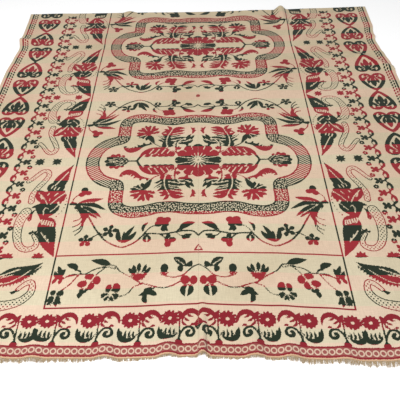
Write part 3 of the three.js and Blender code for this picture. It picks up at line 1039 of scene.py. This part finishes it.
def shift_to_frame():
    """Moves the laid cloth so that its left front corner is the frame's."""
    v = np.linspace(0.0, LENGTH, 400)
    u = np.linspace(-LOOM_WIDTH, -GAP / 2, 400)
    edges = np.vstack([lay(np.full(400, -LOOM_WIDTH), v), lay(u, np.zeros(400))])
    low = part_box("panel_left")[0]
    return np.array([low[0] * 1000 - edges[:, 0].min(), low[1] * 1000 - edges[:, 1].min(), 0.0])


def new_piece(name, mesh, material):
    piece = bpy.data.objects.new(name, mesh)
    scene.collection.objects.link(piece)
    mesh.materials.clear()
    mesh.materials.append(material)
    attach(piece, "root")
    return piece


def loom_width(name, low, high, chart, material):
    """One closed sheet: a fine face with the woven chart, a coarser underside and the edges between."""
    bm = bmesh.new()
    bmesh.ops.create_grid(bm, x_segments=ACROSS, y_segments=ALONG, size=0.5)
    rims = [e for e in bm.edges if e.is_boundary]
    under = bmesh.ops.create_grid(
        bm, x_segments=ACROSS // UNDER_RATIO, y_segments=ALONG // UNDER_RATIO, size=0.5
    )["verts"]
    bmesh.ops.translate(bm, verts=under, vec=(0, 0, -1))
    bmesh.ops.reverse_faces(bm, faces=list({f for p in under for f in p.link_faces}))
    rims += list({e for p in under for e in p.link_edges if e.is_boundary})
    bmesh.ops.bridge_loops(bm, edges=rims)
    for edge in rims:
        edge.smooth = False
    for face in bm.faces:
        face.smooth = True
    mesh = bpy.data.meshes.new(name)
    bm.to_mesh(mesh)
    bm.free()
    grid = np.empty(len(mesh.vertices) * 3)
    mesh.vertices.foreach_get("co", grid)
    grid = grid.reshape(-1, 3)
    u = low + (grid[:, 0] + 0.5) * (high - low)
    v = (grid[:, 1] + 0.5) * LENGTH
    face = grid[:, 2] > -0.5
    lift = np.where(face, cloth_at(v) + creases(u, v), 0.0)
    points = (place(u, v, lift) + SHIFT) / 1000
    mesh.vertices.foreach_set("co", points.ravel())
    flat = np.stack([u, LENGTH - v], -1) / 1000
    corner = np.empty(len(mesh.loops), int)
    mesh.loops.foreach_get("vertex_index", corner)
    mesh.uv_layers.new(name="cloth").data.foreach_set("uv", flat[corner].ravel())
    figure, band = chart.at(np.abs(u), LENGTH - v)
    mesh.attributes.new("figure", "FLOAT_VECTOR", "POINT").data.foreach_set("vector", figure.ravel())
    mesh.attributes.new("band", "FLOAT", "POINT").data.foreach_set("value", band)
    mesh.update()
    return new_piece(name, mesh, material)


def yarn_curves(name, runs, radius, material):
    """Loose ends or stitches as thin tubes, joined in one mesh."""
    curve = bpy.data.curves.new(name, "CURVE")
    curve.dimensions = "3D"
    curve.bevel_depth = radius / 1000
    curve.bevel_resolution = 0
    curve.use_fill_caps = True
    for run in runs:
        points = (run + SHIFT) / 1000
        spline = curve.splines.new("POLY")
        spline.points.add(len(points) - 1)
        spline.points.foreach_set("co", np.c_[points, np.ones(len(points))].ravel())
        taper = np.linspace(1.0, 0.6, len(points))
        spline.points.foreach_set("radius", taper)
    shape = bpy.data.objects.new(name + "_runs", curve)
    scene.collection.objects.link(shape)
    mesh = bpy.data.meshes.new_from_object(shape.evaluated_get(bpy.context.evaluated_depsgraph_get()))
    bpy.data.objects.remove(shape)
    mesh.shade_smooth()
    return new_piece(name, mesh, material)


def fringe(name, low, high, material, seed):
    """Worn warp ends below the front hem, in small tufts."""
    rng = np.random.default_rng(seed)
    count = int((high - low) / YARN_PITCH)
    u = low + (np.arange(count) + rng.uniform(0.1, 0.9, count)) * (high - low) / count
    reach = (along(FRINGE_REACH, u) - BORDER_TO_EDGE) * (1 - 0.5 * rng.uniform(0, 1, count) ** 2)
    reach *= 0.86 + 0.14 * np.sin(u / 6.1 + 2.1 * np.sin(u / 17.0))
    lean = rng.normal(0.0, 1.8, count) + 2.2 * np.sin(u / 2.9)
    curl = rng.normal(0.0, 1.3, count)
    root, arch = rng.uniform(0.7, 1.5, count), rng.uniform(0, 0.9, count)
    t = np.linspace(0.0, 1.0, 5)[:, None]
    across = np.clip(u + lean * t + curl * np.sin(t * np.pi), low, high)
    down = 1.5 - (reach + 1.5) * t
    lift = root + (0.5 - root) * ease(t) + arch * np.sin(t * np.pi)
    points = place(across.ravel(), down.ravel(), lift.ravel()).reshape(5, count, 3)
    settled = height(u, np.zeros(count)) * 0.5 * t**2
    points[:, :, 2] = np.maximum(0.45, points[:, :, 2] - settled)
    return yarn_curves(name, points.swapaxes(0, 1), YARN_RADIUS, material)


def seam_stitches(material):
    """Small slanted stitches that draw the two selvedges together."""
    runs = []
    t = np.linspace(-1.0, 1.0, 5)
    for n in range(int(LENGTH / STITCH_PITCH)):
        v = np.clip(4 + n * STITCH_PITCH + 1.4 * t, 1, LENGTH - 1)
        runs.append(place(STITCH_REACH * t, v, cloth_at(v) + 0.2 + 0.5 * (1 - t**2)))
    return yarn_curves("seam_stitches", runs, STITCH_RADIUS, material)


# Floor and light


def studio():
    floor_material, _, shader = matt("pale_floor", 0.9, 0.5)
    shader.inputs["Base Color"].default_value = (0.9, 0.9, 0.9, 1)
    bm = bmesh.new()
    bmesh.ops.create_grid(bm, x_segments=1, y_segments=1, size=8)
    mesh = bpy.data.meshes.new("floor")
    bm.to_mesh(mesh)
    bm.free()
    floor = bpy.data.objects.new("floor", mesh)
    floor.location.z = -0.0005
    mesh.materials.append(floor_material)
    scene.collection.objects.link(floor)
    world = bpy.data.worlds.new("studio")
    world.use_nodes = True
    sky = world.node_tree.nodes["Background"].inputs
    sky["Color"].default_value = (1, 1, 1, 1)
    sky["Strength"].default_value = 0.6
    scene.world = world
    for name, at, size, power in [
        ("window_light", (-1.3, -1.95, 2.65), 1.6, 124),
        ("fill_light", (1.8, -1.2, 3.0), 2.0, 30),
    ]:
        lamp = bpy.data.lights.new(name, "AREA")
        lamp.size = size
        lamp.energy = power
        holder = bpy.data.objects.new(name, lamp)
        holder.location = at
        holder.rotation_euler = (-Vector(at)).to_track_quat("-Z", "Y").to_euler()
        scene.collection.objects.link(holder)


# The whole scene

photo_camera()
SHIFT = shift_to_frame()
studio()
cloth = woven_cloth()
yarn = loose_yarn()
chart = woven_chart()
sides = {"left": (-LOOM_WIDTH, -GAP / 2), "right": (GAP / 2, LOOM_WIDTH)}
for side, (low, high) in sides.items():
    panel = loom_width("cloth_" + side, low, high, chart, cloth)
    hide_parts("panel_" + side)
    ends = fringe("fringe_yarn_" + side, low, high, yarn, seed=len(side))
    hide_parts("fringe_" + side)
seam_stitches(sewing_thread())

scene.view_settings.view_transform = "Standard"
